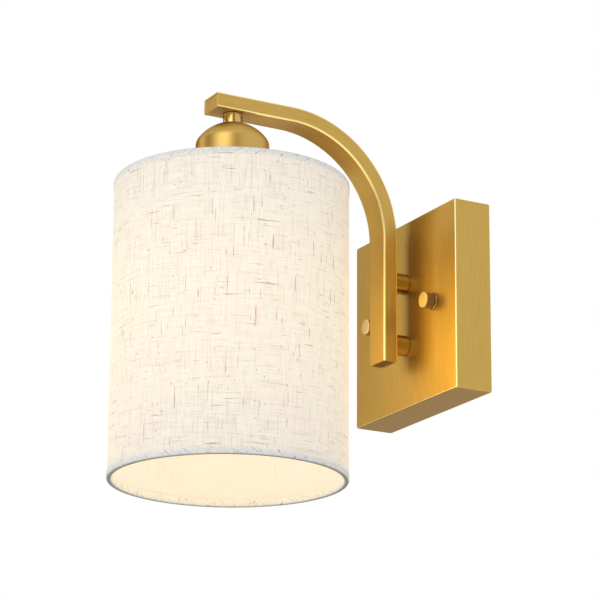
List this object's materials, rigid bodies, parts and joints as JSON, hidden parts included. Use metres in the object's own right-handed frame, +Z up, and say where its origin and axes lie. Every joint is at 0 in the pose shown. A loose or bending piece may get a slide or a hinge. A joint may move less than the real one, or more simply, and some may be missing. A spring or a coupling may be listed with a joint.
{
  "type": "wall light",
  "caption": "Wall light with a straight linen shade hanging from a bent rectangular brass arm on a square brass backplate.",
  "frame": {"origin": "centre of the mounting strap's slots, on the wall, which is also the centre of the backplate's rear face", "axes": "+Z up, -Y out of the wall into the room, +X to the right for someone who faces the wall"},
  "size_m": [0.1438, 0.2195, 0.2405],
  "materials": {
    "satin_brass": "brushed along the bar and lacquered, satin",
    "polished_brass": "turned and polished",
    "zinc_plated_steel": "bright zinc plate",
    "green_screw": "green chromate",
    "phenolic": "moulded black phenolic",
    "contact_brass": "bright stamped",
    "frosted_glass": "frosted inside",
    "cap_aluminium": "rolled thread, bright",
    "black_glass": "fused black glass",
    "solder": "dull solder",
    "frame_wire": "white powder coat",
    "shade_liner": "matt white laminate",
    "linen": "plain weave slubbed linen",
    "hem_linen": "linen cut on the bias, folded over the wire",
    "black_insulation": "extruded",
    "white_insulation": "extruded",
    "green_insulation": "extruded",
    "connector_plastic": "moulded"
  },
  "bodies": {
    "fixture": {"arm_foot_cap": "satin_brass", "arm_tip_cap": "satin_brass", "arm_tube": "satin_brass", "backplate": "satin_brass", "centre_contact": "contact_brass", "crossbar": "zinc_plated_steel", "ground_lead": "green_insulation", "ground_screw": "green_screw", "lampholder_body": "phenolic", "lampholder_cap": "phenolic", "lead_terminals": "contact_brass", "live_lead": "black_insulation", "lower_post": "polished_brass", "lower_post_nut": "zinc_plated_steel", "lower_post_screw": "zinc_plated_steel", "mounting_studs": "zinc_plated_steel", "neck_collar": "polished_brass", "neck_locknut": "zinc_plated_steel", "neck_nipple": "zinc_plated_steel", "neutral_lead": "white_insulation", "screw_shell": "contact_brass", "socket_cup": "satin_brass", "stud_locknuts": "zinc_plated_steel", "upper_post": "polished_brass", "upper_post_locknuts": "zinc_plated_steel", "upper_post_nipple": "zinc_plated_steel", "wire_connectors": "connector_plastic"},
    "left_washer": {"left_nut_washer": "polished_brass"},
    "left_nut": {"left_thumb_nut": "polished_brass"},
    "right_washer": {"right_nut_washer": "polished_brass"},
    "right_nut": {"right_thumb_nut": "polished_brass"},
    "shade": {"spider_hub": "frame_wire", "spider_arms": "frame_wire", "top_wire_ring": "frame_wire", "bottom_wire_ring": "frame_wire", "shade_liner": "shade_liner", "linen_cover": "linen", "top_hem": "hem_linen", "bottom_hem": "hem_linen"},
    "shade_ring": {"retaining_ring": "phenolic"},
    "bulb_tip": {"bulb_contact": "solder"},
    "bulb": {"bulb_glass": "frosted_glass", "bulb_cap": "cap_aluminium", "bulb_insulator": "black_glass"}
  },
  "joints": [
    {"name": "left_nut_travel", "type": "slide", "parent": "fixture", "child": "left_washer", "axis": [0, -1, 0], "range_m": [0, 0.0042]},
    {"name": "left_nut_turn", "type": "hinge", "parent": "left_washer", "child": "left_nut", "pos_m": [-0.03492, -0.027, 0], "axis": [0, -1, 0], "range_deg": [0, 2160]},
    {"name": "right_nut_travel", "type": "slide", "parent": "fixture", "child": "right_washer", "axis": [0, -1, 0], "range_m": [0, 0.0042]},
    {"name": "right_nut_turn", "type": "hinge", "parent": "right_washer", "child": "right_nut", "pos_m": [0.03492, -0.027, 0], "axis": [0, -1, 0], "range_deg": [0, 2160]},
    {"name": "shade_ring_travel", "type": "slide", "parent": "fixture", "child": "shade", "axis": [0, 0, -1], "range_m": [0, 0.01125]},
    {"name": "shade_ring_turn", "type": "hinge", "parent": "shade", "child": "shade_ring", "pos_m": [0, -0.1476, 0.0527], "axis": [0, 0, -1], "range_deg": [0, 1620]},
    {"name": "bulb_travel", "type": "slide", "parent": "fixture", "child": "bulb_tip", "axis": [0, 0, -1], "range_m": [0, 0.01815]},
    {"name": "bulb_turn", "type": "hinge", "parent": "bulb_tip", "child": "bulb", "pos_m": [0, -0.1476, 0.06], "axis": [0, 0, -1], "range_deg": [0, 1800]}
  ],
  "couplings": [
    {"joint": "left_nut_turn", "follows": "left_nut_travel", "rad_per_m": 8976},
    {"joint": "right_nut_turn", "follows": "right_nut_travel", "rad_per_m": 8976},
    {"joint": "shade_ring_turn", "follows": "shade_ring_travel", "rad_per_m": 2513.3},
    {"joint": "bulb_turn", "follows": "bulb_travel", "rad_per_m": 1731.4}
  ]
}
